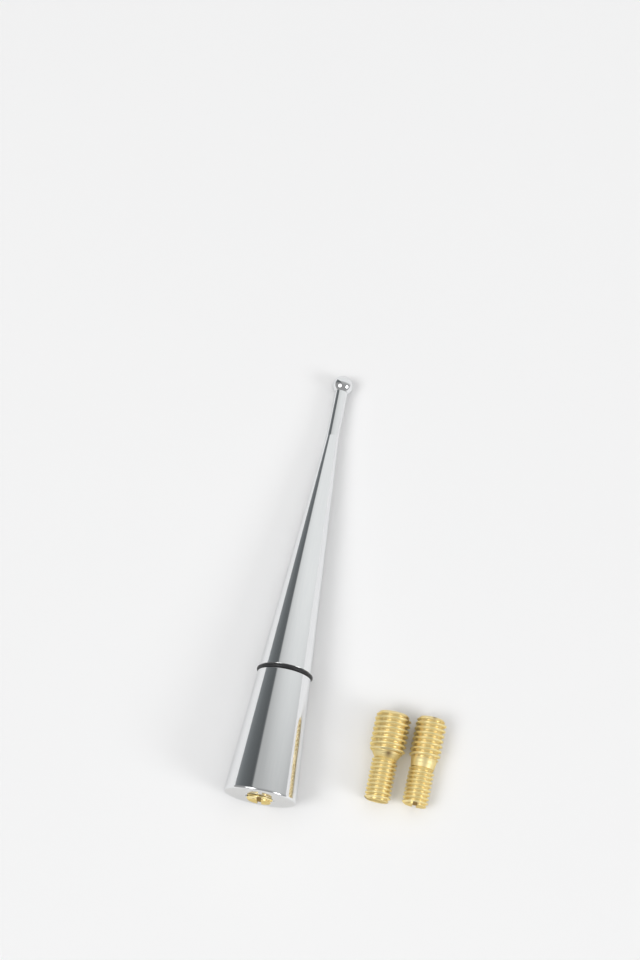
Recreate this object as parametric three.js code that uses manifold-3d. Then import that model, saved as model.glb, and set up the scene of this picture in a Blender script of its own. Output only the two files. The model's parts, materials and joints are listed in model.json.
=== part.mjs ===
// A short, tapered, screw-on antenna mast, lying on a bench beside its two loose thread adapters.
// The mast is a polished cone in two sections that screw together over a rubber O-ring, and it ends in
// a thin neck and a ball. A brass stud screws into its base, and each adapter can take that stud's place.
// Units are millimetres. +Z is up from the bench, +Y runs along the mast from its seat to its tip, and
// +X points towards the adapters. The origin is on the bench, at the middle of the kit's bounding box.

import * as THREE from "three";
import { mergeVertices } from "three/addons/utils/BufferGeometryUtils.js";
import Module from "manifold-3d";

// ---- The cone, measured along the mast's axis from the seat face ----
const SEAT_RADIUS = 7.0;
const NECK_RADIUS = 1.4;
const CONE_LENGTH = 76.5; // from the seat to where the straight neck begins
const SEAT_CHAMFER = 0.25; // on the rim of the seat face
const JOINT_CHAMFER = 0.1; // on the rims on either side of the O-ring
const BALL_RADIUS = 2.2;
const BALL_CENTRE = 88.95;

// ---- The joint between the two sections ----
const RING_CENTRE = 24.5;
const RING_CORD_RADIUS = 0.36;
const RING_OUTER_RADIUS = 5.54;
const RING_FACE_GAP = 0.04; // between the cord and the face on either side of it
const SPIGOT_RADIUS = 4.76; // the mast section's spigot, which carries the ring
const SPIGOT_CLEARANCE = 0.25; // between the end of the spigot and the base section

// ---- Threads: nominal diameter and pitch ----
const M5 = { diameter: 5.0, pitch: 0.8 };
const M6 = { diameter: 6.0, pitch: 1.0 };
const M7 = { diameter: 7.0, pitch: 1.0 };
const THREAD_DEPTH_PER_PITCH = 0.6134; // ISO metric external thread
const CREST_FLAT_PER_PITCH = 0.125;
const TAPPED_HOLE_RADIUS = M5.diameter / 2 + 0.05; // smooth, with running clearance round the stud
const HOLE_CHAMFER = 0.2;

// ---- Studs and adapters ----
const STUD_LENGTH = 17.5;
const STUD_PROUD = 0.7; // how far the fitted stud stands out of the seat face
const JOINING_STUD_LENGTH = 13.0;
const MAST_HOLE_END = 31.6; // the blind end of the mast section's tapped hole
const ADAPTER_LENGTH = 17.0;
const STUD_END_CHAMFER = 0.4;
const ADAPTER_END_CHAMFER = 0.75; // on an adapter's larger end
const BLANK_MARGIN = 0.1; // how far a stud's chamfered blank stands clear of its thread's crests
const CORE_RADIUS = 1.5; // inside the root of every thread here
const CORE_OVERLAP = 1.0; // how far an adapter's shoulder reaches into the thread at either end
const SLOT_WIDTH = 0.8; // screwdriver slot across an M5 end
const SLOT_DEPTH = 0.4;
const M7_SHOULDER = { start: 8.1, undercut: 9.0, end: 9.4, startRadius: 2.1, undercutRadius: 2.7 };
const M6_SHOULDER = { start: 7.2, undercut: 8.8, end: 9.0, startRadius: 2.25, undercutRadius: 2.5 };

// ---- Where the loose adapters lie, from the point on the bench below the seat's centre ----
const M7_PLACE = { x: 21.7, y: 4.0, turnDegrees: 2.1 };
const M6_PLACE = { x: 28.9, y: 4.5, turnDegrees: 2.8 };

// ---- Ball seat on the end of the neck ----
const BALL_SPIGOT_RADIUS = 0.9;
const BALL_SPIGOT_LENGTH = 1.6;
const BALL_FIT_GAP = 0.05;

// ---- Materials ----
const POLISHED_METAL = { color: 0xd8dadc, roughness: 0.08, metalness: 1.0 };
const BRASS = { color: 0xd9bd62, roughness: 0.3, metalness: 1.0 };
const RUBBER = { color: 0x17181a, roughness: 0.6, metalness: 0.0 };

// ---- Facets ----
const TURNED_SEGMENTS = 48;
const CORD_SEGMENTS = 12;
const BALL_ARC_STEPS = 10;
const THREAD_SEGMENTS = 16;

const wasm = await Module();
wasm.setup();

// ---------- solids ----------

function toSolid(geometry) {
  const bare = geometry.clone();
  bare.deleteAttribute("normal");
  bare.deleteAttribute("uv");
  const merged = mergeVertices(bare);
  const mesh = new wasm.Mesh({
    numProp: 3,
    vertProperties: new Float32Array(merged.attributes.position.array),
    triVerts: new Uint32Array(merged.index.array),
  });
  return new wasm.Manifold(mesh);
}

function toGeometry(solid) {
  const mesh = solid.getMesh();
  const geometry = new THREE.BufferGeometry();
  geometry.setAttribute("position", new THREE.BufferAttribute(new Float32Array(mesh.vertProperties), 3));
  geometry.setIndex(new THREE.BufferAttribute(new Uint32Array(mesh.triVerts), 1));
  geometry.computeVertexNormals();
  return geometry;
}

// A solid of revolution about +Z from [radius, height] points. The points run anticlockwise round the
// section, seen with the radius to the right and the height upwards.
function turned(points, segments = TURNED_SEGMENTS) {
  const profile = points.map(([radius, height]) => new THREE.Vector2(radius, height));
  const geometry = new THREE.LatheGeometry(profile, segments);
  geometry.rotateX(Math.PI / 2);
  return geometry;
}

function coneRadius(distance) {
  const share = Math.min(distance / CONE_LENGTH, 1);
  return SEAT_RADIUS + (NECK_RADIUS - SEAT_RADIUS) * share;
}

// ---------- the cone ----------

function baseSection() {
  const top = RING_CENTRE - RING_CORD_RADIUS - RING_FACE_GAP;
  const topRadius = coneRadius(top);
  return turned([
    [TAPPED_HOLE_RADIUS + HOLE_CHAMFER, 0],
    [SEAT_RADIUS - SEAT_CHAMFER, 0],
    [coneRadius(SEAT_CHAMFER), SEAT_CHAMFER],
    [coneRadius(top - JOINT_CHAMFER), top - JOINT_CHAMFER],
    [topRadius - JOINT_CHAMFER, top],
    [TAPPED_HOLE_RADIUS + HOLE_CHAMFER, top],
    [TAPPED_HOLE_RADIUS, top - HOLE_CHAMFER],
    [TAPPED_HOLE_RADIUS, HOLE_CHAMFER],
    [TAPPED_HOLE_RADIUS + HOLE_CHAMFER, 0],
  ]);
}

function neckEnd() {
  return BALL_CENTRE - Math.sqrt(BALL_RADIUS ** 2 - NECK_RADIUS ** 2) - BALL_FIT_GAP;
}

function mastSection() {
  const bottom = RING_CENTRE + RING_CORD_RADIUS + RING_FACE_GAP;
  const spigotEnd = RING_CENTRE - RING_CORD_RADIUS - RING_FACE_GAP + SPIGOT_CLEARANCE;
  return turned([
    [0, MAST_HOLE_END],
    [TAPPED_HOLE_RADIUS, MAST_HOLE_END],
    [TAPPED_HOLE_RADIUS, spigotEnd + HOLE_CHAMFER],
    [TAPPED_HOLE_RADIUS + HOLE_CHAMFER, spigotEnd],
    [SPIGOT_RADIUS, spigotEnd],
    [SPIGOT_RADIUS, bottom],
    [coneRadius(bottom) - JOINT_CHAMFER, bottom],
    [coneRadius(bottom + JOINT_CHAMFER), bottom + JOINT_CHAMFER],
    [NECK_RADIUS, CONE_LENGTH],
    [NECK_RADIUS, neckEnd()],
    [BALL_SPIGOT_RADIUS, neckEnd()],
    [BALL_SPIGOT_RADIUS, neckEnd() + BALL_SPIGOT_LENGTH],
    [0, neckEnd() + BALL_SPIGOT_LENGTH],
  ]);
}

// The ball is cut flat where it meets the neck, and has a blind hole over the neck's spigot.
function ballTip() {
  const holeRadius = BALL_SPIGOT_RADIUS + BALL_FIT_GAP;
  const flat = neckEnd() + BALL_FIT_GAP;
  const holeEnd = neckEnd() + BALL_SPIGOT_LENGTH + BALL_FIT_GAP;
  const firstAngle = -Math.acos(NECK_RADIUS / BALL_RADIUS);
  const arc = [];
  for (let step = 0; step < BALL_ARC_STEPS; step += 1) {
    const angle = firstAngle + ((Math.PI / 2 - firstAngle) * step) / BALL_ARC_STEPS;
    arc.push([BALL_RADIUS * Math.cos(angle), BALL_CENTRE + BALL_RADIUS * Math.sin(angle)]);
  }
  return turned([
    [0, holeEnd],
    [holeRadius, holeEnd],
    [holeRadius, flat],
    ...arc,
    [0, BALL_CENTRE + BALL_RADIUS],
  ]);
}

function oRing() {
  const pathRadius = RING_OUTER_RADIUS - RING_CORD_RADIUS;
  return new THREE.TorusGeometry(pathRadius, RING_CORD_RADIUS, CORD_SEGMENTS, TURNED_SEGMENTS);
}

// ---------- threads ----------

// The rows of one pitch of thread: both edges of the crest, then the root.
function threadRows(thread) {
  const crest = thread.diameter / 2;
  const root = crest - THREAD_DEPTH_PER_PITCH * thread.pitch;
  return [
    { radius: crest, offset: 0 },
    { radius: crest, offset: CREST_FLAT_PER_PITCH * thread.pitch },
    { radius: root, offset: ((1 + CREST_FLAT_PER_PITCH) / 2) * thread.pitch },
  ];
}

// A right-handed thread that runs on past both of the heights given. Each row of points is a helix
// along the crest or the root, so after a full turn a row runs on into the same row one pitch up.
function threadedRod(thread, from, to) {
  const rows = threadRows(thread);
  const spare = 2 * thread.pitch;
  const pitches = Math.ceil((to - from + 2 * spare) / thread.pitch);
  const rowCount = pitches * rows.length;
  const lastRow = rowCount - 1;
  const lastColumn = THREAD_SEGMENTS - 1;
  const positions = [];
  const triangles = [];

  for (let row = 0; row < rowCount; row += 1) {
    const { radius, offset } = rows[row % rows.length];
    const rowStart = from - spare + Math.floor(row / rows.length) * thread.pitch + offset;
    for (let column = 0; column < THREAD_SEGMENTS; column += 1) {
      const share = column / THREAD_SEGMENTS;
      const angle = 2 * Math.PI * share;
      positions.push(radius * Math.cos(angle), radius * Math.sin(angle), rowStart + thread.pitch * share);
    }
  }
  const at = (row, column) =>
    column > lastColumn ? (row + rows.length) * THREAD_SEGMENTS : row * THREAD_SEGMENTS + column;

  for (let row = 0; row < lastRow; row += 1) {
    for (let column = 0; column < THREAD_SEGMENTS; column += 1) {
      const runsOffTheTop = column === lastColumn && row + 1 + rows.length > lastRow;
      if (!runsOffTheTop) {
        triangles.push(at(row, column), at(row, column + 1), at(row + 1, column + 1));
        triangles.push(at(row, column), at(row + 1, column + 1), at(row + 1, column));
      }
    }
  }

  // Each end is closed by a fan from a point on the axis round the edge of the last helix.
  const bottomEdge = [];
  for (let column = 0; column <= THREAD_SEGMENTS; column += 1) {
    bottomEdge.push(at(0, column));
  }
  for (let row = rows.length - 1; row > 0; row -= 1) {
    bottomEdge.push(at(row, 0));
  }
  const topEdge = [];
  for (let column = 0; column < THREAD_SEGMENTS; column += 1) {
    topEdge.push(at(lastRow, column));
  }
  for (let row = lastRow - 1; row >= lastRow - rows.length; row -= 1) {
    topEdge.push(at(row, lastColumn));
  }
  const bottomCentre = rowCount * THREAD_SEGMENTS;
  const topCentre = bottomCentre + 1;
  positions.push(0, 0, from - spare - thread.pitch);
  positions.push(0, 0, to + 2 * spare + thread.pitch);
  bottomEdge.forEach((point, index) => {
    triangles.push(bottomCentre, bottomEdge[(index + 1) % bottomEdge.length], point);
  });
  topEdge.forEach((point, index) => {
    triangles.push(topCentre, point, topEdge[(index + 1) % topEdge.length]);
  });

  const geometry = new THREE.BufferGeometry();
  geometry.setAttribute("position", new THREE.Float32BufferAttribute(positions, 3));
  geometry.setIndex(triangles);
  return toSolid(geometry);
}

// A threaded length between two heights, cut square and chamfered at both ends.
function stud(thread, from, to, topChamfer = STUD_END_CHAMFER) {
  const outer = thread.diameter / 2 + BLANK_MARGIN;
  const bottomReach = STUD_END_CHAMFER + BLANK_MARGIN;
  const topReach = topChamfer + BLANK_MARGIN;
  const blank = turned([
    [0, from],
    [outer - bottomReach, from],
    [outer, from + bottomReach],
    [outer, to - topReach],
    [outer - topReach, to],
    [0, to],
  ]);
  return threadedRod(thread, from, to).intersect(toSolid(blank));
}

// Cuts a screwdriver slot across the lower end of a stud, running along X or along Y.
function slotted(solid, endHeight, alongY) {
  const cutter = new THREE.BoxGeometry(2 * M7.diameter, SLOT_WIDTH, 2 * SLOT_DEPTH);
  if (alongY) {
    cutter.rotateZ(Math.PI / 2);
  }
  cutter.translate(0, 0, endHeight);
  return solid.subtract(toSolid(cutter));
}

function fittedStud() {
  return toGeometry(slotted(stud(M5, -STUD_PROUD, STUD_LENGTH - STUD_PROUD), -STUD_PROUD, true));
}

function joiningStud() {
  const from = RING_CENTRE - JOINING_STUD_LENGTH / 2;
  return toGeometry(stud(M5, from, from + JOINING_STUD_LENGTH));
}

// An M5 end, a plain tapered shoulder that ends in an undercut, and a larger threaded end.
function adapter(thread, shoulder, slotAlongY) {
  const middle = turned([
    [0, shoulder.start - CORE_OVERLAP],
    [CORE_RADIUS, shoulder.start - CORE_OVERLAP],
    [CORE_RADIUS, shoulder.start],
    [shoulder.startRadius, shoulder.start],
    [shoulder.undercutRadius, shoulder.undercut],
    [shoulder.undercutRadius, shoulder.end],
    [CORE_RADIUS, shoulder.end],
    [CORE_RADIUS, shoulder.end + CORE_OVERLAP],
    [0, shoulder.end + CORE_OVERLAP],
  ], THREAD_SEGMENTS);
  const joined = stud(M5, 0, shoulder.start)
    .add(toSolid(middle))
    .add(stud(thread, shoulder.end, ADAPTER_LENGTH, ADAPTER_END_CHAMFER));
  return toGeometry(slotted(joined, 0, slotAlongY));
}

// ---------- the kit ----------

function piece(name, geometry, look) {
  const mesh = new THREE.Mesh(geometry, new THREE.MeshStandardMaterial(look));
  mesh.name = name;
  return mesh;
}

// The mast is modelled upright on its seat. It lies on two points: the rim of the seat, above its
// chamfer, and the ball. So its axis slopes down towards the ball.
function lyingMast() {
  const rimRadius = coneRadius(SEAT_CHAMFER);
  const span = BALL_CENTRE - SEAT_CHAMFER;
  const slope = Math.acos(BALL_RADIUS / Math.hypot(rimRadius, span)) - Math.atan2(span, rimRadius);
  const mast = new THREE.Group();
  mast.add(piece("base_section", baseSection(), POLISHED_METAL));
  mast.add(piece("mast_section", mastSection(), POLISHED_METAL));
  mast.add(piece("ball_tip", ballTip(), POLISHED_METAL));
  mast.add(piece("joining_stud", joiningStud(), BRASS));
  mast.add(piece("fitted_stud", fittedStud(), BRASS));
  const ring = piece("o_ring", oRing(), RUBBER);
  ring.position.z = RING_CENTRE;
  mast.add(ring);
  mast.rotation.x = -(Math.PI / 2 + slope);
  mast.position.z = rimRadius * Math.cos(slope) + SEAT_CHAMFER * Math.sin(slope);
  return mast;
}

// An adapter lies level on its larger thread, with its M5 end towards the seat end of the kit.
function lyingAdapter(name, thread, shoulder, place, slotAlongY) {
  const mesh = piece(name, adapter(thread, shoulder, slotAlongY), BRASS);
  mesh.rotation.x = -Math.PI / 2;
  const group = new THREE.Group();
  group.add(mesh);
  group.rotation.z = -THREE.MathUtils.degToRad(place.turnDegrees);
  group.position.set(place.x, place.y, thread.diameter / 2);
  return group;
}

const kit = new THREE.Group();
kit.add(lyingMast());
kit.add(lyingAdapter("adapter_m7", M7, M7_SHOULDER, M7_PLACE, false));
kit.add(lyingAdapter("adapter_m6", M6, M6_SHOULDER, M6_PLACE, true));

kit.updateMatrixWorld(true);
const middle = new THREE.Box3().setFromObject(kit, true).getCenter(new THREE.Vector3());
kit.position.set(-middle.x, -middle.y, 0);

export default kit;
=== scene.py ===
"""The looks of a short screw-on antenna mast and its two loose thread adapters, lying on a pale table.

Every visible piece is turned or threaded in mesh code at a finer step than the CAD solid it stands for.
A piece is built in millimetres in its own frame, with +Z along its axis, and its object places that
frame in the shared frame, which is in metres.
"""

import json
import math

import bpy
import numpy as np
from mathutils import Matrix, Vector


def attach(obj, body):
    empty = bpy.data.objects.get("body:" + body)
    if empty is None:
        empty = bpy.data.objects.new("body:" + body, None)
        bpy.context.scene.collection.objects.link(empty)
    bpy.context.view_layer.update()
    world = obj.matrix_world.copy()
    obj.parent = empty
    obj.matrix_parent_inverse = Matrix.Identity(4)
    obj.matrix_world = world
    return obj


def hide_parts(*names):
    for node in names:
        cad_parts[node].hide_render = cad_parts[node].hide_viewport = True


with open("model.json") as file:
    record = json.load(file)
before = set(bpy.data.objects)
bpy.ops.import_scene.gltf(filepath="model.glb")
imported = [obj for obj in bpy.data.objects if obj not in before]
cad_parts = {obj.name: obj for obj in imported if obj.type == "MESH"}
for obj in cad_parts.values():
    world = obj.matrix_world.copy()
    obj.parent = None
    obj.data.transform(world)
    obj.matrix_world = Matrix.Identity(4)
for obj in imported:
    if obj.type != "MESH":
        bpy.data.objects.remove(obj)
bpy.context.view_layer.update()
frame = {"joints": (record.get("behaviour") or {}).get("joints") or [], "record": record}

MM = 0.001

# ---- The cone, along its axis from the seat face ----
SEAT_RADIUS = 7.0
NECK_RADIUS = 1.4
CONE_LENGTH = 76.5
SEAT_ROUND = 0.45  # how far the seat's rounded rim reaches
JOINT_CHAMFER = 0.1
BALL_RADIUS = 2.2
BALL_CENTRE = 88.95
BALL_SPIGOT_RADIUS = 0.9
BALL_SPIGOT_LENGTH = 1.6
BALL_GAP = 0.01

# ---- The joint between the two sections ----
RING_CENTRE = 24.5
RING_CORD_RADIUS = 0.36
RING_OUTER_RADIUS = 5.54
RING_FACE_GAP = 0.04
SPIGOT_RADIUS = 4.76
SPIGOT_CLEARANCE = 0.25
MAST_HOLE_END = 31.6

# ---- Threads ----
M5 = {"diameter": 5.0, "pitch": 0.8}
M6 = {"diameter": 6.0, "pitch": 1.0}
M7 = {"diameter": 7.0, "pitch": 1.0}
THREAD_DEPTH = 0.6134  # as a share of the pitch, like the next two
CREST_FLAT = 0.1
FLANK_RUN = 0.44
THREAD_ROUNDING = 0.9  # 0 for straight flanks, 1 for fully eased ones
BORE_RADIUS = 2.55
BORE_GROOVE = 0.22
HOLE_CHAMFER = 0.2

# ---- Studs and adapters ----
STUD_LENGTH = 17.5
STUD_PROUD = 0.7
JOINING_STUD_LENGTH = 13.0
ADAPTER_LENGTH = 17.0
STUD_END_CHAMFER = 0.4
ADAPTER_END_CHAMFER = 0.75
SLOT_WIDTH = 0.8
SLOT_DEPTH = 0.4
M7_SHOULDER = {"start": 8.1, "undercut": 9.0, "end": 9.4, "start_radius": 2.1, "undercut_radius": 2.7}
M6_SHOULDER = {"start": 7.2, "undercut": 8.8, "end": 9.0, "start_radius": 2.25, "undercut_radius": 2.5}

# ---- Darker marks on the brass, from 0 to 1; a spot is (degrees from the top, height, reach) ----
# Painted shadow: the M7 spots darken the top of its undercut and the side of its large end that faces the M6
# adapter.
M7_SHADOW_SPOTS = [(8.0, 8.8, 0.6), (56.0, 16.0, 0.6), (64.0, 14.7, 0.35)]
# The M6 spot only makes a small patch near the top of its large end darker.
M6_DARK_SPOTS = [(8.0, 16.9, 0.35)]
# Painted shade in the screwdriver slots; the slotted end faces are only made slightly darker.
SLOT_SHADE = 0.9
END_DARKENING = 0.25

# ---- Mesh steps ----
TURNED_STEPS = 192
THREAD_STEPS = 96
CORD_STEPS = 48
BALL_STEPS = 48
ROWS_PER_PITCH = 14
EDGE_ROUND = 0.07
EDGE_STEPS = 6
ROUND_SHARE = 0.3  # the most of a straight length that one end's rounding may take
SUPPORT_SHARE = 0.4  # the same, with the row that supports it
SUPPORT = 0.03  # how far past an edge the row stands that keeps the shading crisp
TURNED_SHARP = math.radians(35)
THREAD_SHARP = math.radians(75)

# ---- The camera, from the point on the table below the middle of the seat ----
CAMERA_OFFSET = (18.26, -36.48)
CAMERA_HEIGHT = 273.4
CAMERA_TURN = math.radians(10.49)
CAMERA_DROP = math.radians(68.83)
CAMERA_LENS = 52.5
CAMERA_SENSOR = 36.0

# ---- The studio, with brightness as radiance and distance in metres ----
BACKDROP = 0.915
OVERHEAD_LIGHT = 1.10
HORIZON_LIGHT = 0.225
OVERHEAD_FROM = 0.52
OVERHEAD_FULL = 0.95
METAL_GLOW = 0.2  # what the metal throws onto the table
SEAT_GLOW = 0.9  # the same, in front of the seat
TWICE_SHARE = 0.5  # how much paler the room is after two reflections
FLOOR_HALF = 6.0
FADE_START = 0.22
FADE_END = 0.55
SOFTBOX_DISTANCE = 2.5
SOFTBOX_BORDER = 1.1
SOFTBOX_FADE = (0.6, 0.85)  # as a share of the panel's half width
LEFT_SOFTBOX = {"towards": (-0.48, -0.36, 0.80), "half_angle": 19.0, "radiance": 5.2}
RIGHT_SOFTBOX = {"towards": (0.80, -0.28, 0.54), "half_angle": 15.5, "radiance": 6.0}


# ---------- where the pieces are ----------

def joint(name):
    return next(j for j in frame["joints"] if j["name"] == name)


def mount(name):
    return next(m for m in frame["record"]["mounts"] if m["name"] == name)


def placement(origin, axis):
    """A matrix from a piece's own millimetres to the shared frame, with +Z along the axis."""
    z = Vector(axis).normalized()
    side = Vector((z.y, -z.x, 0.0)).normalized()
    y = z.cross(side)
    turn = Matrix((side, y, z)).transposed().to_4x4()
    return Matrix.Translation(Vector(origin)) @ turn @ Matrix.Scale(MM, 4)


SEAT = Vector(joint("mast_turn")["pos_m"])
MAST_PLACE = placement(SEAT, joint("mast_turn")["axis"])


def adapter_place(mount_name):
    """An adapter's own frame starts at its small end, its whole length back from its large end face."""
    face = mount(mount_name)
    axis = Vector(face["axis"])
    return placement(Vector(face["pos_m"]) - axis * ADAPTER_LENGTH * MM, axis)


# ---------- turned meshes ----------

def cone_radius(distance):
    share = min(distance / CONE_LENGTH, 1.0)
    return SEAT_RADIUS + (NECK_RADIUS - SEAT_RADIUS) * share


def rounded(corners):
    """Rounds off every corner but the first and the last of a line of (radius, height) corners.

    A corner may carry a third number, which is how far its own rounding reaches.
    """
    points = [Vector(c[:2]) for c in corners]
    wanted = [c[2] if len(c) > 2 else EDGE_ROUND for c in corners]
    outline = [tuple(points[0])]
    for before, corner, after, limit in zip(points, points[1:], points[2:], wanted[1:]):
        back, on = before - corner, after - corner
        shortest = min(back.length, on.length)
        reach = min(limit, shortest * ROUND_SHARE)
        support = min(reach + SUPPORT, shortest * SUPPORT_SHARE)
        start, finish = corner + back.normalized() * reach, corner + on.normalized() * reach
        outline.append(tuple(corner + back.normalized() * support))
        for step in range(EDGE_STEPS + 1):
            t = step / EDGE_STEPS
            outline.append(tuple(start * (1 - t) ** 2 + corner * (2 * t * (1 - t)) + finish * t ** 2))
        outline.append(tuple(corner + on.normalized() * support))
    outline.append(tuple(points[-1]))
    return outline


def skin(name, rows, place, steps, closed=False, sharp=TURNED_SHARP):
    """A mesh skinned round the axis over rows of (radius, height).

    A radius may be an array with one value per step, and a radius of 0 makes a pole. The rows run
    anticlockwise round the section, seen with the radius to the right and the height upwards.
    """
    angles = np.arange(steps) * (2 * math.pi / steps)
    vertices = []
    rings = []
    for radius, height in rows:
        first = len(vertices)
        if np.isscalar(radius) and radius == 0:
            rings.append([first])
            vertices.append((0.0, 0.0, float(height)))
            continue
        rings.append(list(range(first, first + steps)))
        around = np.broadcast_to(radius, (steps,))
        ring = np.column_stack((around * np.cos(angles), around * np.sin(angles), np.full(steps, height)))
        vertices.extend(map(tuple, ring.tolist()))
    faces = []
    pairs = list(zip(rings, rings[1:]))
    if closed:
        pairs.append((rings[-1], rings[0]))
    for low, high in pairs:
        for i in range(steps):
            j = (i + 1) % steps
            if len(low) == 1:
                faces.append((low[0], high[j], high[i]))
            elif len(high) == 1:
                faces.append((low[i], low[j], high[0]))
            else:
                faces.append((low[i], low[j], high[j], high[i]))
    mesh = bpy.data.meshes.new(name)
    mesh.from_pydata(vertices, [], faces)
    piece = bpy.data.objects.new(name, mesh)
    bpy.context.scene.collection.objects.link(piece)
    piece.matrix_world = place
    shade(piece, sharp)
    return piece


def shade(piece, sharp):
    piece.data.shade_smooth()
    piece.data.set_sharp_from_angle(angle=sharp)


# ---------- threads ----------

def thread_fall(thread, height, steps):
    """How far a right-handed thread's surface is below its crest, from 0 to 1, for every step of a row."""
    turns = np.arange(steps) / steps
    phase = (height / thread["pitch"] - turns + 0.5) % 1.0 - 0.5
    fall = np.clip((np.abs(phase) - CREST_FLAT / 2) / FLANK_RUN, 0.0, 1.0)
    eased = fall * fall * (3 - 2 * fall)
    return fall + (eased - fall) * THREAD_ROUNDING


def heights(start, end, pitch):
    return np.linspace(start, end, round((end - start) / pitch * ROWS_PER_PITCH) + 1)


def stud_rows(thread, start, end, end_chamfer=STUD_END_CHAMFER):
    """Rows of a threaded length with a chamfer at both ends; end_chamfer is the one at its end."""
    crest = thread["diameter"] / 2
    depth = THREAD_DEPTH * thread["pitch"]
    rows = []
    for height in heights(start, end, thread["pitch"]):
        chamfer = crest + min(height - start - STUD_END_CHAMFER, end - height - end_chamfer)
        cut = crest - depth * thread_fall(thread, height, THREAD_STEPS)
        rows.append((np.minimum(cut, chamfer), height))
    return rows


def threaded(name, rows, place):
    """A threaded piece: its rows closed by a flat face at either end."""
    (first_radius, first_height), (last_radius, last_height) = rows[0], rows[-1]
    start_face = [(0, first_height), (first_radius - SUPPORT, first_height)]
    end_face = [(last_radius - SUPPORT, last_height), (0, last_height)]
    return skin(name, [*start_face, *rows, *end_face], place, THREAD_STEPS, sharp=THREAD_SHARP)


# The faces of a box whose corners count up in x, then in y, then in z.
BOX_FACES = [(0, 2, 3, 1), (4, 5, 7, 6), (0, 1, 5, 4), (2, 6, 7, 3), (0, 4, 6, 2), (1, 3, 7, 5)]


def cut_slot(piece, end_height, along_y):
    """Cuts a screwdriver slot across the lower end of a stud."""
    across, along = SLOT_WIDTH / 2, M5["diameter"]
    half_x, half_y = (across, along) if along_y else (along, across)
    corners = [
        (x, y, end_height + z)
        for z in (-SLOT_DEPTH, SLOT_DEPTH)
        for y in (-half_y, half_y)
        for x in (-half_x, half_x)
    ]
    mesh = bpy.data.meshes.new("slot_cutter")
    mesh.from_pydata(corners, [], BOX_FACES)
    cutter = bpy.data.objects.new("slot_cutter", mesh)
    bpy.context.scene.collection.objects.link(cutter)
    cutter.matrix_world = piece.matrix_world
    modifier = piece.modifiers.new("slot", "BOOLEAN")
    modifier.operation = "DIFFERENCE"
    modifier.solver = "EXACT"
    modifier.object = cutter
    graph = bpy.context.evaluated_depsgraph_get()
    result = bpy.data.meshes.new_from_object(piece.evaluated_get(graph))
    piece.modifiers.clear()
    piece.data = result
    bpy.data.objects.remove(cutter)
    shade(piece, THREAD_SHARP)


def store(mesh, name, values):
    """Keeps one number for each point, for the materials to read."""
    attribute = mesh.attributes.new(name, "FLOAT", "POINT")
    attribute.data.foreach_set("value", np.asarray(values, np.float32))


def mark_depth(piece, crest_at, ends):
    """Stores how deep in the thread or slot each point is: 0 on crests and end faces, 1 at the root."""
    mesh = piece.data
    places = np.zeros(len(mesh.vertices) * 3, np.float32)
    mesh.vertices.foreach_get("co", places)
    places = places.reshape(-1, 3)
    radii = np.hypot(places[:, 0], places[:, 1])
    crests = np.array([crest_at(z) for z in places[:, 2]])
    depth = np.clip((crests - radii) / (THREAD_DEPTH * M5["pitch"]), 0.0, 1.0)
    for end in ends:
        depth[np.abs(places[:, 2] - end) < SUPPORT] = 0.0
    store(mesh, "thread_depth", depth)


def mark_shade_and_spots(piece, spots, slot_end, slot_along_y):
    """Stores how dark each point is painted, in spots, in the slot and on the end face beside it: painted
    shade in the slot, painted shadow in the M7 spots, and plain darker marks elsewhere.
    """
    dark = np.zeros(len(piece.data.vertices), np.float32)
    for index, vertex in enumerate(piece.data.vertices):
        x, y, z = vertex.co
        # Spots: painted shadow on the M7 adapter, and a plain darker patch on the M6 adapter.
        for degrees, height, reach in spots:
            turn = math.remainder(math.atan2(x, -y) - math.radians(degrees), 2 * math.pi)
            around = math.hypot(x, y) * turn
            dark[index] += math.exp(-((around ** 2 + (z - height) ** 2) / reach ** 2))
        across = abs(x if slot_along_y else y)
        above_end = z - slot_end
        # Painted shade in the slot; the end face beside it is only made slightly darker.
        if across < SLOT_WIDTH / 2 + SUPPORT and SUPPORT < above_end < SLOT_DEPTH + SUPPORT:
            dark[index] = SLOT_SHADE
        elif above_end < SUPPORT:
            dark[index] = END_DARKENING
    store(piece.data, "shade_and_spots", np.minimum(dark, 1.0))


# ---------- the pieces ----------

def bore_rows(top, bottom):
    """Rows down a tapped hole, whose thread is cut outwards from the bore."""
    rows = []
    for height in reversed(heights(bottom, top, M5["pitch"])):
        groove = 1 - thread_fall(M5, height, TURNED_STEPS)
        rows.append((BORE_RADIUS + BORE_GROOVE * groove, height))
    return rows


def base_section():
    top = RING_CENTRE - RING_CORD_RADIUS - RING_FACE_GAP
    mouth = BORE_RADIUS + BORE_GROOVE
    outside = rounded([
        (mouth, 0.0),
        (SEAT_RADIUS, 0.0, SEAT_ROUND),
        (cone_radius(top - JOINT_CHAMFER), top - JOINT_CHAMFER),
        (cone_radius(top) - JOINT_CHAMFER, top),
        (mouth, top),
    ])
    rows = [*outside, *bore_rows(top - HOLE_CHAMFER, HOLE_CHAMFER)]
    return skin("base_section_skin", rows, MAST_PLACE, TURNED_STEPS, closed=True)


def neck_end():
    return BALL_CENTRE - math.sqrt(BALL_RADIUS ** 2 - NECK_RADIUS ** 2) - BALL_GAP


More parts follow.
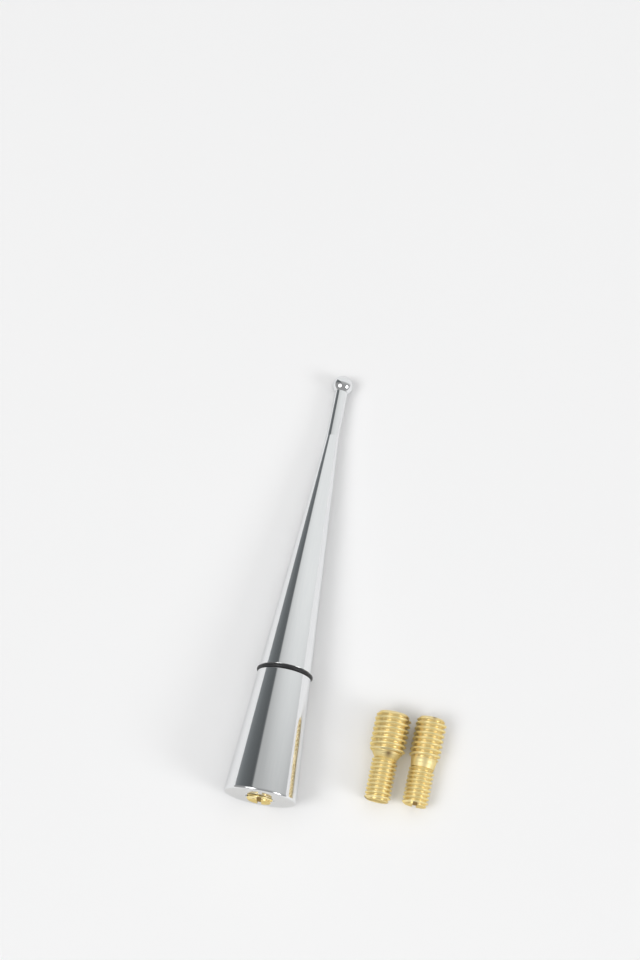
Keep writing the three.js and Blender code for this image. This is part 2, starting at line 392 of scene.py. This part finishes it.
def mast_section():
    bottom = RING_CENTRE + RING_CORD_RADIUS + RING_FACE_GAP
    spigot_end = RING_CENTRE - RING_CORD_RADIUS - RING_FACE_GAP + SPIGOT_CLEARANCE
    outside = rounded([
        (BORE_RADIUS + BORE_GROOVE, spigot_end),
        (SPIGOT_RADIUS, spigot_end),
        (SPIGOT_RADIUS, bottom),
        (cone_radius(bottom) - JOINT_CHAMFER, bottom),
        (cone_radius(bottom + JOINT_CHAMFER), bottom + JOINT_CHAMFER),
        (NECK_RADIUS, CONE_LENGTH),
        (NECK_RADIUS, neck_end()),
        (BALL_SPIGOT_RADIUS, neck_end()),
        (BALL_SPIGOT_RADIUS, neck_end() + BALL_SPIGOT_LENGTH),
        (0.0, neck_end() + BALL_SPIGOT_LENGTH),
    ])
    bore = bore_rows(MAST_HOLE_END, spigot_end + HOLE_CHAMFER)
    rows = [(0, MAST_HOLE_END), *bore, *outside]
    return skin("mast_section_skin", rows, MAST_PLACE, TURNED_STEPS)


def ball_tip():
    flat = neck_end() + BALL_GAP
    hole_radius = BALL_SPIGOT_RADIUS + BALL_GAP
    hole_end = neck_end() + BALL_SPIGOT_LENGTH + BALL_GAP
    first = -math.acos(NECK_RADIUS / BALL_RADIUS)
    arc = []
    for step in range(BALL_STEPS):
        angle = first + (math.pi / 2 - first) * step / BALL_STEPS
        arc.append((BALL_RADIUS * math.cos(angle), BALL_CENTRE + BALL_RADIUS * math.sin(angle)))
    rows = [(0, hole_end), (hole_radius, hole_end), (hole_radius, flat), *arc, (0, BALL_CENTRE + BALL_RADIUS)]
    return skin("ball_tip_skin", rows, MAST_PLACE, TURNED_STEPS)


def o_ring():
    path = RING_OUTER_RADIUS - RING_CORD_RADIUS
    rows = []
    for step in range(CORD_STEPS):
        angle = 2 * math.pi * step / CORD_STEPS
        rows.append((
            path + RING_CORD_RADIUS * math.cos(angle),
            RING_CENTRE + RING_CORD_RADIUS * math.sin(angle),
        ))
    return skin("o_ring_skin", rows, MAST_PLACE, TURNED_STEPS, closed=True)


def joining_stud():
    start = RING_CENTRE - JOINING_STUD_LENGTH / 2
    end = start + JOINING_STUD_LENGTH
    piece = threaded("joining_stud_skin", stud_rows(M5, start, end), MAST_PLACE)
    mark_depth(piece, lambda height: M5["diameter"] / 2, (start, end))
    return piece


def fitted_stud():
    start, end = -STUD_PROUD, STUD_LENGTH - STUD_PROUD
    piece = threaded("fitted_stud_skin", stud_rows(M5, start, end), MAST_PLACE)
    cut_slot(piece, start, along_y=True)
    mark_depth(piece, lambda height: M5["diameter"] / 2, (start, end))
    mark_shade_and_spots(piece, [], start, slot_along_y=True)
    return piece


def adapter(name, thread, shoulder, mount_name, slot_along_y, spots):
    """An M5 end, a plain tapered shoulder that ends in an undercut, and a larger threaded end."""
    shoulder_outline = rounded([
        (shoulder["start_radius"] - SUPPORT, shoulder["start"]),
        (shoulder["start_radius"], shoulder["start"]),
        (shoulder["undercut_radius"], shoulder["undercut"]),
        (shoulder["undercut_radius"], shoulder["end"]),
        (thread["diameter"] / 2 - STUD_END_CHAMFER - SUPPORT, shoulder["end"]),
    ])
    rows = [
        *stud_rows(M5, 0.0, shoulder["start"]),
        *shoulder_outline,
        *stud_rows(thread, shoulder["end"], ADAPTER_LENGTH, ADAPTER_END_CHAMFER),
    ]
    piece = threaded(name, rows, adapter_place(mount_name))
    cut_slot(piece, 0.0, slot_along_y)

    def crest_at(height):
        """The crest's radius, or 0 on the shoulder, which counts as no deeper than a crest."""
        if height < shoulder["start"]:
            return M5["diameter"] / 2
        if height < shoulder["end"]:
            return 0.0
        return thread["diameter"] / 2

    mark_depth(piece, crest_at, (0.0, ADAPTER_LENGTH))
    plain = [shoulder["start"] < vertex.co.z < shoulder["end"] for vertex in piece.data.vertices]
    store(piece.data, "plain", plain)
    mark_shade_and_spots(piece, spots, 0.0, slot_along_y)
    return piece


# ---------- node helpers ----------

def add(tree, kind, values=None, **settings):
    """Adds a shader node, and fills its inputs from plain values or from other nodes' outputs."""
    made = tree.nodes.new("ShaderNode" + kind)
    for key, value in settings.items():
        setattr(made, key, value)
    for key, value in (values or {}).items():
        if isinstance(value, bpy.types.NodeSocket):
            tree.links.new(value, made.inputs[key])
        else:
            made.inputs[key].default_value = value
    return made


def maths(tree, operation, *values):
    return add(tree, "Math", dict(enumerate(values)), operation=operation).outputs[0]


def added(tree, start, value, share):
    """start, plus a share of value."""
    return maths(tree, "MULTIPLY_ADD", value, share, start)


def bounced(tree, depth, times):
    """1 for a ray that has bounced that many times or more, counted by depth, and 0 for any other."""
    return maths(tree, "GREATER_THAN", depth, times - 0.5)


def remap(tree, value, low, high, new_low=0.0, new_high=1.0):
    """Carries value smoothly from new_low at low to new_high at high."""
    values = {"Value": value, "From Min": low, "From Max": high, "To Min": new_low, "To Max": new_high}
    return add(tree, "MapRange", values, interpolation_type="SMOOTHSTEP").outputs["Result"]


def mixed(tree, share, first, second):
    """A colour mixed from first, at a share of 0, to second, at a share of 1."""
    node = add(tree, "Mix", {0: share, 6: first, 7: second}, data_type="RGBA")
    return node.outputs[2]


def dot(tree, vector, direction):
    node = add(tree, "VectorMath", {0: vector, 1: direction}, operation="DOT_PRODUCT")
    return node.outputs["Value"]


def ramp(tree, value, stops):
    """A grey that follows value through (place, grey) stops."""
    node = add(tree, "ValToRGB", {"Fac": value})
    elements = node.color_ramp.elements
    while len(elements) < len(stops):
        elements.new(0.5)
    for element, (place, grey) in zip(elements, stops):
        element.position = place
        element.color = (grey, grey, grey, 1.0)
    return node.outputs["Color"]


def noise(tree, vector, scale, detail=3.0, roughness=0.5):
    values = {"Vector": vector, "Scale": scale, "Detail": detail, "Roughness": roughness}
    return add(tree, "TexNoise", values).outputs["Fac"]


def scaled(tree, vector, factors):
    return add(tree, "VectorMath", {0: vector, 1: factors}, operation="MULTIPLY").outputs[0]


def colour(red, green, blue):
    return (red, green, blue, 1.0)


def new_material(name):
    """A material with a Principled surface, and its piece's own coordinates in millimetres."""
    material = bpy.data.materials.new(name)
    material.use_nodes = True
    tree = material.node_tree
    tree.nodes.clear()
    surface = add(tree, "BsdfPrincipled")
    output = add(tree, "OutputMaterial")
    tree.links.new(surface.outputs[0], output.inputs["Surface"])
    place = add(tree, "TexCoord").outputs["Object"]
    return material, tree, surface, place


def connect(tree, surface, **values):
    for key, value in values.items():
        socket = surface.inputs[key.replace("_", " ")]
        if isinstance(value, bpy.types.NodeSocket):
            tree.links.new(value, socket)
        else:
            socket.default_value = value


def axial_coordinates(tree, place):
    """(radius, 0, height): a texture laid over these goes round the piece in rings, as tool marks do."""
    parts = add(tree, "SeparateXYZ", {0: place}).outputs
    flat = scaled(tree, place, (1.0, 1.0, 0.0))
    radius = add(tree, "VectorMath", {0: flat}, operation="LENGTH").outputs["Value"]
    return add(tree, "CombineXYZ", {"X": radius, "Z": parts["Z"]}).outputs[0]


def bump(tree, height, distance, normal=None, strength=1.0):
    values = {"Height": height, "Distance": distance, "Strength": strength}
    if normal is not None:
        values["Normal"] = normal
    return add(tree, "Bump", values).outputs["Normal"]


# ---------- materials ----------

METAL_TONES = colour(0.84, 0.85, 0.86), colour(0.89, 0.895, 0.90)
METAL_STREAKED = colour(0.85, 0.86, 0.87)
# The seat face's darker grey is painted shade in what the mirror face reflects.
METAL_FACE_SHADED = colour(0.77, 0.77, 0.76)
METAL_EDGE_ON = colour(0.84, 0.84, 0.84)
METAL_FACE_DEPTH = 0.1
METAL_STREAKS = (3.0, 3.0, 0.06)  # long along the mast
METAL_ROUGHNESS = 0.045
METAL_RING_HEIGHT = 0.0000004
METAL_PIT_HEIGHT = 0.0000002

BRASS_CRESTS = colour(1.0, 0.85, 0.44), colour(1.0, 0.89, 0.51)
# The root tones are darker than the crest tones: painted shade in the thread roots.
BRASS_ROOTS_SHADED = colour(0.93, 0.775, 0.42), colour(0.97, 0.815, 0.47)
BRASS_TARNISHED = colour(0.80, 0.60, 0.26)
BRASS_PLAIN = colour(0.93, 0.78, 0.40)
# Dark brown for the darker marks: painted shade in the slots and painted shadow in the M7 spots.
BRASS_SHADE_AND_SPOTS = colour(0.20, 0.11, 0.05)
# A paler, whiter brass for where it is seen in another metal's reflection: a painted reflection.
BRASS_PAINTED_REFLECTION = colour(0.95, 0.87, 0.70)
BRASS_EDGE_ON = colour(0.85, 0.68, 0.32)
BRASS_SHADE_AND_SPOTS_SHARE = 0.9
BRASS_PAINTED_REFLECTION_SHARE = 0.6
BRASS_ROUGHNESS = 0.28
BRASS_RING_HEIGHT = 0.000005
BRASS_GRAIN_HEIGHT = 0.000003
BRASS_TURNED_HEIGHT = 0.00012

RUBBER_TONES = colour(0.008, 0.008, 0.009), colour(0.022, 0.022, 0.024)
RUBBER_ROUGHNESS = 0.34
RUBBER_GRAIN_HEIGHT = 0.000008

CARD_TONES = colour(0.922, 0.922, 0.924), colour(0.938, 0.938, 0.938)
CARD_FIBRE_HEIGHT = 0.00001


def polished_metal():
    """Turned and polished metal, with tool rings, polishing streaks, faint handling marks, and painted shade
    on the seat face.
    """
    material, tree, surface, place = new_material("polished_metal")
    rings = noise(tree, axial_coordinates(tree, place), scale=2.6, detail=2.0)
    streaks = noise(tree, scaled(tree, place, METAL_STREAKS), scale=1.0, detail=3.0)
    smudges = noise(tree, place, scale=0.14, detail=4.0, roughness=0.6)
    pits = noise(tree, place, scale=5.0, detail=2.0)

    tone = mixed(tree, smudges, *METAL_TONES)
    tone = mixed(tree, remap(tree, streaks, low=0.35, high=0.7), tone, METAL_STREAKED)
    height = add(tree, "SeparateXYZ", {0: place}).outputs["Z"]
    # Painted shade: the polished seat face is painted a darker grey than the rest of the metal.
    face = remap(tree, height, low=0.0, high=METAL_FACE_DEPTH, new_low=1.0, new_high=0.0)
    tone = mixed(tree, face, tone, METAL_FACE_SHADED)
    rough = added(tree, METAL_ROUGHNESS, smudges, share=0.04)
    rough = added(tree, rough, streaks, share=0.03)
    normal = bump(tree, rings, METAL_RING_HEIGHT)
    normal = bump(tree, pits, METAL_PIT_HEIGHT, normal)
    tangent = add(tree, "Tangent", direction_type="RADIAL", axis="Z").outputs[0]
    connect(tree, surface, Metallic=1.0, Base_Color=tone, Roughness=rough, Normal=normal,
            Anisotropic=0.4, Tangent=tangent, Specular_Tint=METAL_EDGE_ON)
    return material


def brass():
    """Cut brass: scuffed crests, smoother roots painted darker as painted shade, tarnish in patches, tool
    marks on the plain parts, painted shade and painted shadow in the slot and the marked spots, and a paler
    painted reflection where other metal mirrors it.
    """
    material, tree, surface, place = new_material("brass")
    depth = add(tree, "Attribute", attribute_name="thread_depth").outputs["Fac"]
    plain = add(tree, "Attribute", attribute_name="plain").outputs["Fac"]
    shade_and_spots = add(tree, "Attribute", attribute_name="shade_and_spots").outputs["Fac"]
    round_axis = axial_coordinates(tree, place)
    rings = noise(tree, round_axis, scale=7.0, detail=2.0)
    turned = noise(tree, round_axis, scale=2.2, detail=1.0)
    patches = noise(tree, place, scale=0.35, detail=4.0, roughness=0.6)
    grain = noise(tree, place, scale=6.0, detail=3.0)

    # Painted shade: deeper in the thread, the tone is mixed towards the darker root tones.
    deep = remap(tree, added(tree, depth, patches, share=0.5), low=0.35, high=1.35)
    tone = mixed(tree, deep, mixed(tree, grain, *BRASS_CRESTS), mixed(tree, grain, *BRASS_ROOTS_SHADED))
    tarnished = remap(tree, patches, low=0.62, high=0.8, new_high=0.35)
    tone = mixed(tree, tarnished, tone, BRASS_TARNISHED)
    tone = mixed(tree, plain, tone, BRASS_PLAIN)
    # The slot, the marked spots and the end face are mixed towards dark brown; in the slot and the M7 spots
    # this is painted shade and painted shadow.
    tone = mixed(tree, maths(tree, "MULTIPLY", shade_and_spots, BRASS_SHADE_AND_SPOTS_SHARE), tone, BRASS_SHADE_AND_SPOTS)
    # Painted reflection: brass seen in another metal's reflection is painted paler and whiter.
    seen_in_reflection = bounced(tree, add(tree, "LightPath").outputs["Glossy Depth"], times=1)
    tone = mixed(tree, maths(tree, "MULTIPLY", seen_in_reflection, BRASS_PAINTED_REFLECTION_SHARE), tone, BRASS_PAINTED_REFLECTION)

    rough = added(tree, BRASS_ROUGHNESS, deep, share=-0.09)
    rough = added(tree, rough, grain, share=0.06)
    rough = added(tree, rough, shade_and_spots, share=0.3)
    rough = added(tree, rough, plain, share=0.14)

    normal = bump(tree, rings, BRASS_RING_HEIGHT)
    normal = bump(tree, grain, BRASS_GRAIN_HEIGHT, normal)
    normal = bump(tree, turned, BRASS_TURNED_HEIGHT, normal, plain)
    tangent = add(tree, "Tangent", direction_type="RADIAL", axis="Z").outputs[0]
    connect(tree, surface, Metallic=0.9, Base_Color=tone, Roughness=rough, Normal=normal,
            Anisotropic=0.3, Tangent=tangent, Specular_Tint=BRASS_EDGE_ON, Specular_IOR_Level=0.1)
    return material


def black_rubber():
    """Moulded rubber with a fine grain and a slightly shiny skin."""
    material, tree, surface, place = new_material("black_rubber")
    grain = noise(tree, place, scale=12.0, detail=4.0)
    wear = noise(tree, place, scale=0.8, detail=3.0)
    tone = mixed(tree, wear, *RUBBER_TONES)
    rough = added(tree, RUBBER_ROUGHNESS, grain, share=0.2)
    connect(tree, surface, Base_Color=tone, Roughness=rough, Normal=bump(tree, grain, RUBBER_GRAIN_HEIGHT))
    return material


def floor_card():
    """Pale card, which fades into the backdrop's own light away from the object."""
    material, tree, surface, _ = new_material("floor_card")
    place = add(tree, "NewGeometry").outputs["Position"]
    clouds = noise(tree, place, scale=9.0, detail=4.0)
    fibres = noise(tree, place, scale=900.0, detail=3.0)
    tone = mixed(tree, clouds, *CARD_TONES)
    connect(tree, surface, Base_Color=tone, Roughness=0.75, Normal=bump(tree, fibres, CARD_FIBRE_HEIGHT),
            Specular_IOR_Level=0.15)
    distance = add(tree, "VectorMath", {0: place}, operation="LENGTH").outputs["Value"]
    far = remap(tree, distance, FADE_START, FADE_END)
    glow = add(tree, "Emission", {"Color": colour(BACKDROP, BACKDROP, BACKDROP), "Strength": 1.0})
    mixer = add(tree, "MixShader", {0: far, 1: surface.outputs[0], 2: glow.outputs[0]})
    output = next(n for n in tree.nodes if n.bl_idname == "ShaderNodeOutputMaterial")
    tree.links.new(mixer.outputs[0], output.inputs["Surface"])
    return material


def softbox_cloth(name, radiance):
    """A lit cloth panel: a bright middle, and a dimmer border where the light spreads."""
    material = bpy.data.materials.new(name)
    material.use_nodes = True
    tree = material.node_tree
    tree.nodes.clear()
    place = add(tree, "TexCoord").outputs["Object"]
    distance = add(tree, "VectorMath", {0: place}, operation="LENGTH").outputs["Value"]
    strength = remap(tree, distance, *SOFTBOX_FADE, radiance, SOFTBOX_BORDER)
    path = add(tree, "LightPath").outputs
    from_matt = bounced(tree, path["Diffuse Depth"], times=1)
    caustic = maths(tree, "MULTIPLY", path["Is Glossy Ray"], from_matt)
    strength = mixed(tree, caustic, strength, colour(METAL_GLOW, METAL_GLOW, METAL_GLOW))
    glow = add(tree, "Emission", {"Color": colour(1.0, 1.0, 1.0), "Strength": strength})
    output = add(tree, "OutputMaterial")
    tree.links.new(glow.outputs[0], output.inputs["Surface"])
    return material


# ---------- the studio ----------

# The room as the metal reflects it: the dark side as (height, grey), the pale side as (forward, grey).
DARK_SIDE = [(0.0, 0.27), (0.15, 0.21), (0.4, 0.155), (0.8, 0.105), (1.0, 0.10)]
PALE_SIDE = [
    (0.0, 0.36), (0.2, 0.42), (0.33, 0.45), (0.39, 0.49),
    (0.43, 0.61), (0.465, 0.71), (0.5, 0.79), (0.55, 0.86),
]
DARK_TINT = (0.93, 1.0, 1.03)
PALE_TINT = (0.985, 1.0, 0.995)
ALONG_MAST = (0.095, 1.0, 0.0)
TOWARDS_PALE = (1.0, 1.05, 0.03)
SIDE_FADE = 0.06
BEHIND_TONE = colour(0.33, 0.33, 0.33)
BEHIND_FADE = (0.05, 0.25)
TWICE_TONE = colour(0.8, 0.8, 0.8)
SEAT_FADE = (-0.75, -0.35)


def studio_world():
    """The room in the metal's reflections: a dark side, a pale ceiling, and soft light on everything."""
    world = bpy.data.worlds.new("studio")
    bpy.context.scene.world = world
    world.use_nodes = True
    world.cycles.sampling_method = "NONE"
    tree = world.node_tree
    tree.nodes.clear()
    direction = add(tree, "TexCoord").outputs["Generated"]

    height = dot(tree, direction, (0.0, 0.0, 1.0))
    forward = dot(tree, direction, ALONG_MAST)
    dark = scaled(tree, ramp(tree, height, DARK_SIDE), DARK_TINT)
    behind = remap(tree, forward, *BEHIND_FADE, new_low=1.0, new_high=0.0)
    dark = mixed(tree, behind, dark, BEHIND_TONE)
    pale = scaled(tree, ramp(tree, forward, PALE_SIDE), PALE_TINT)
    side = dot(tree, direction, TOWARDS_PALE)
    room = mixed(tree, remap(tree, side, -SIDE_FADE, SIDE_FADE), dark, pale)

    path = add(tree, "LightPath").outputs
    soft = remap(tree, height, OVERHEAD_FROM, OVERHEAD_FULL, HORIZON_LIGHT, OVERHEAD_LIGHT)
    from_matt = bounced(tree, path["Diffuse Depth"], times=1)
    twice = bounced(tree, path["Glossy Depth"], times=2)
    room = mixed(tree, maths(tree, "MULTIPLY", twice, TWICE_SHARE), room, TWICE_TONE)
    glow = remap(tree, forward, *SEAT_FADE, SEAT_GLOW, METAL_GLOW)
    room = mixed(tree, from_matt, room, glow)
    seen = mixed(tree, path["Is Glossy Ray"], soft, room)
    seen = mixed(tree, path["Is Camera Ray"], seen, colour(BACKDROP, BACKDROP, BACKDROP))
    background = add(tree, "Background", {"Color": seen, "Strength": 1.0})
    output = add(tree, "OutputWorld")
    tree.links.new(background.outputs[0], output.inputs["Surface"])


def disc(name, rings, steps):
    """A flat disc of radius 1 in the XY plane."""
    vertices = [(0.0, 0.0, 0.0)]
    faces = []
    for ring in range(1, rings + 1):
        for i in range(steps):
            angle = 2 * math.pi * i / steps
            vertices.append((ring / rings * math.cos(angle), ring / rings * math.sin(angle), 0.0))
    for i in range(steps):
        j = (i + 1) % steps
        faces.append((0, 1 + i, 1 + j))
        for ring in range(1, rings):
            inner, outer = 1 + (ring - 1) * steps, 1 + ring * steps
            faces.append((inner + i, outer + i, outer + j, inner + j))
    mesh = bpy.data.meshes.new(name)
    mesh.from_pydata(vertices, [], faces)
    piece = bpy.data.objects.new(name, mesh)
    bpy.context.scene.collection.objects.link(piece)
    return piece


def softbox(name, panel):
    """A lit panel that faces the object, out of the camera's sight."""
    away = Vector(panel["towards"]).normalized()
    side = Vector((-away.y, away.x, 0.0)).normalized()
    up = away.cross(side)
    half = SOFTBOX_DISTANCE * math.tan(math.radians(panel["half_angle"]))
    turn = Matrix((side, up, away)).transposed().to_4x4()
    piece = disc(name, rings=1, steps=32)
    piece.matrix_world = (
        Matrix.Translation(away * SOFTBOX_DISTANCE)
        @ turn
        @ Matrix.Diagonal((half, half, 1.0, 1.0))
    )
    piece.data.materials.append(softbox_cloth(name + "_cloth", panel["radiance"]))
    piece.visible_camera = False


def floor():
    piece = disc("floor", rings=4, steps=64)
    piece.matrix_world = Matrix.Diagonal((FLOOR_HALF, FLOOR_HALF, 1.0, 1.0))
    piece.data.materials.append(floor_card())


def camera():
    forward_flat = Vector((-math.sin(CAMERA_TURN), math.cos(CAMERA_TURN), 0.0))
    forward = forward_flat * math.cos(CAMERA_DROP) - Vector((0.0, 0.0, math.sin(CAMERA_DROP)))
    up = forward_flat * math.sin(CAMERA_DROP) + Vector((0.0, 0.0, math.cos(CAMERA_DROP)))
    right = forward.cross(up)
    data = bpy.data.cameras.new("camera")
    data.sensor_width = CAMERA_SENSOR
    data.lens = CAMERA_LENS
    data.clip_start = 0.01
    data.clip_end = 50.0
    body = bpy.data.objects.new("camera", data)
    bpy.context.scene.collection.objects.link(body)
    turn = Matrix((right, up, -forward)).transposed().to_4x4()
    place = Vector((SEAT.x + CAMERA_OFFSET[0] * MM, SEAT.y + CAMERA_OFFSET[1] * MM, CAMERA_HEIGHT * MM))
    body.matrix_world = Matrix.Translation(place) @ turn
    bpy.context.scene.camera = body


# ---------- the scene ----------

def dress(piece, material, node, body):
    piece.data.materials.clear()
    piece.data.materials.append(material)
    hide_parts(node)
    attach(piece, body)


metal, yellow, black = polished_metal(), brass(), black_rubber()
dress(base_section(), metal, "base_section", "base")
dress(mast_section(), metal, "mast_section", "mast")
dress(ball_tip(), metal, "ball_tip", "mast")
dress(o_ring(), black, "o_ring", "ring")
dress(joining_stud(), yellow, "joining_stud", "mast")
dress(fitted_stud(), yellow, "fitted_stud", "stud")
m7_adapter = adapter(
    "adapter_m7_skin", M7, M7_SHOULDER, "adapter_m7_end", slot_along_y=False, spots=M7_SHADOW_SPOTS,
)
m6_adapter = adapter(
    "adapter_m6_skin", M6, M6_SHOULDER, "adapter_m6_end", slot_along_y=True, spots=M6_DARK_SPOTS,
)
dress(m7_adapter, yellow, "adapter_m7", "loose_m7")
dress(m6_adapter, yellow, "adapter_m6", "loose_m6")

studio_world()
floor()
softbox("softbox_left", LEFT_SOFTBOX)
softbox("softbox_right", RIGHT_SOFTBOX)
camera()
bpy.context.scene.view_settings.view_transform = "Standard"
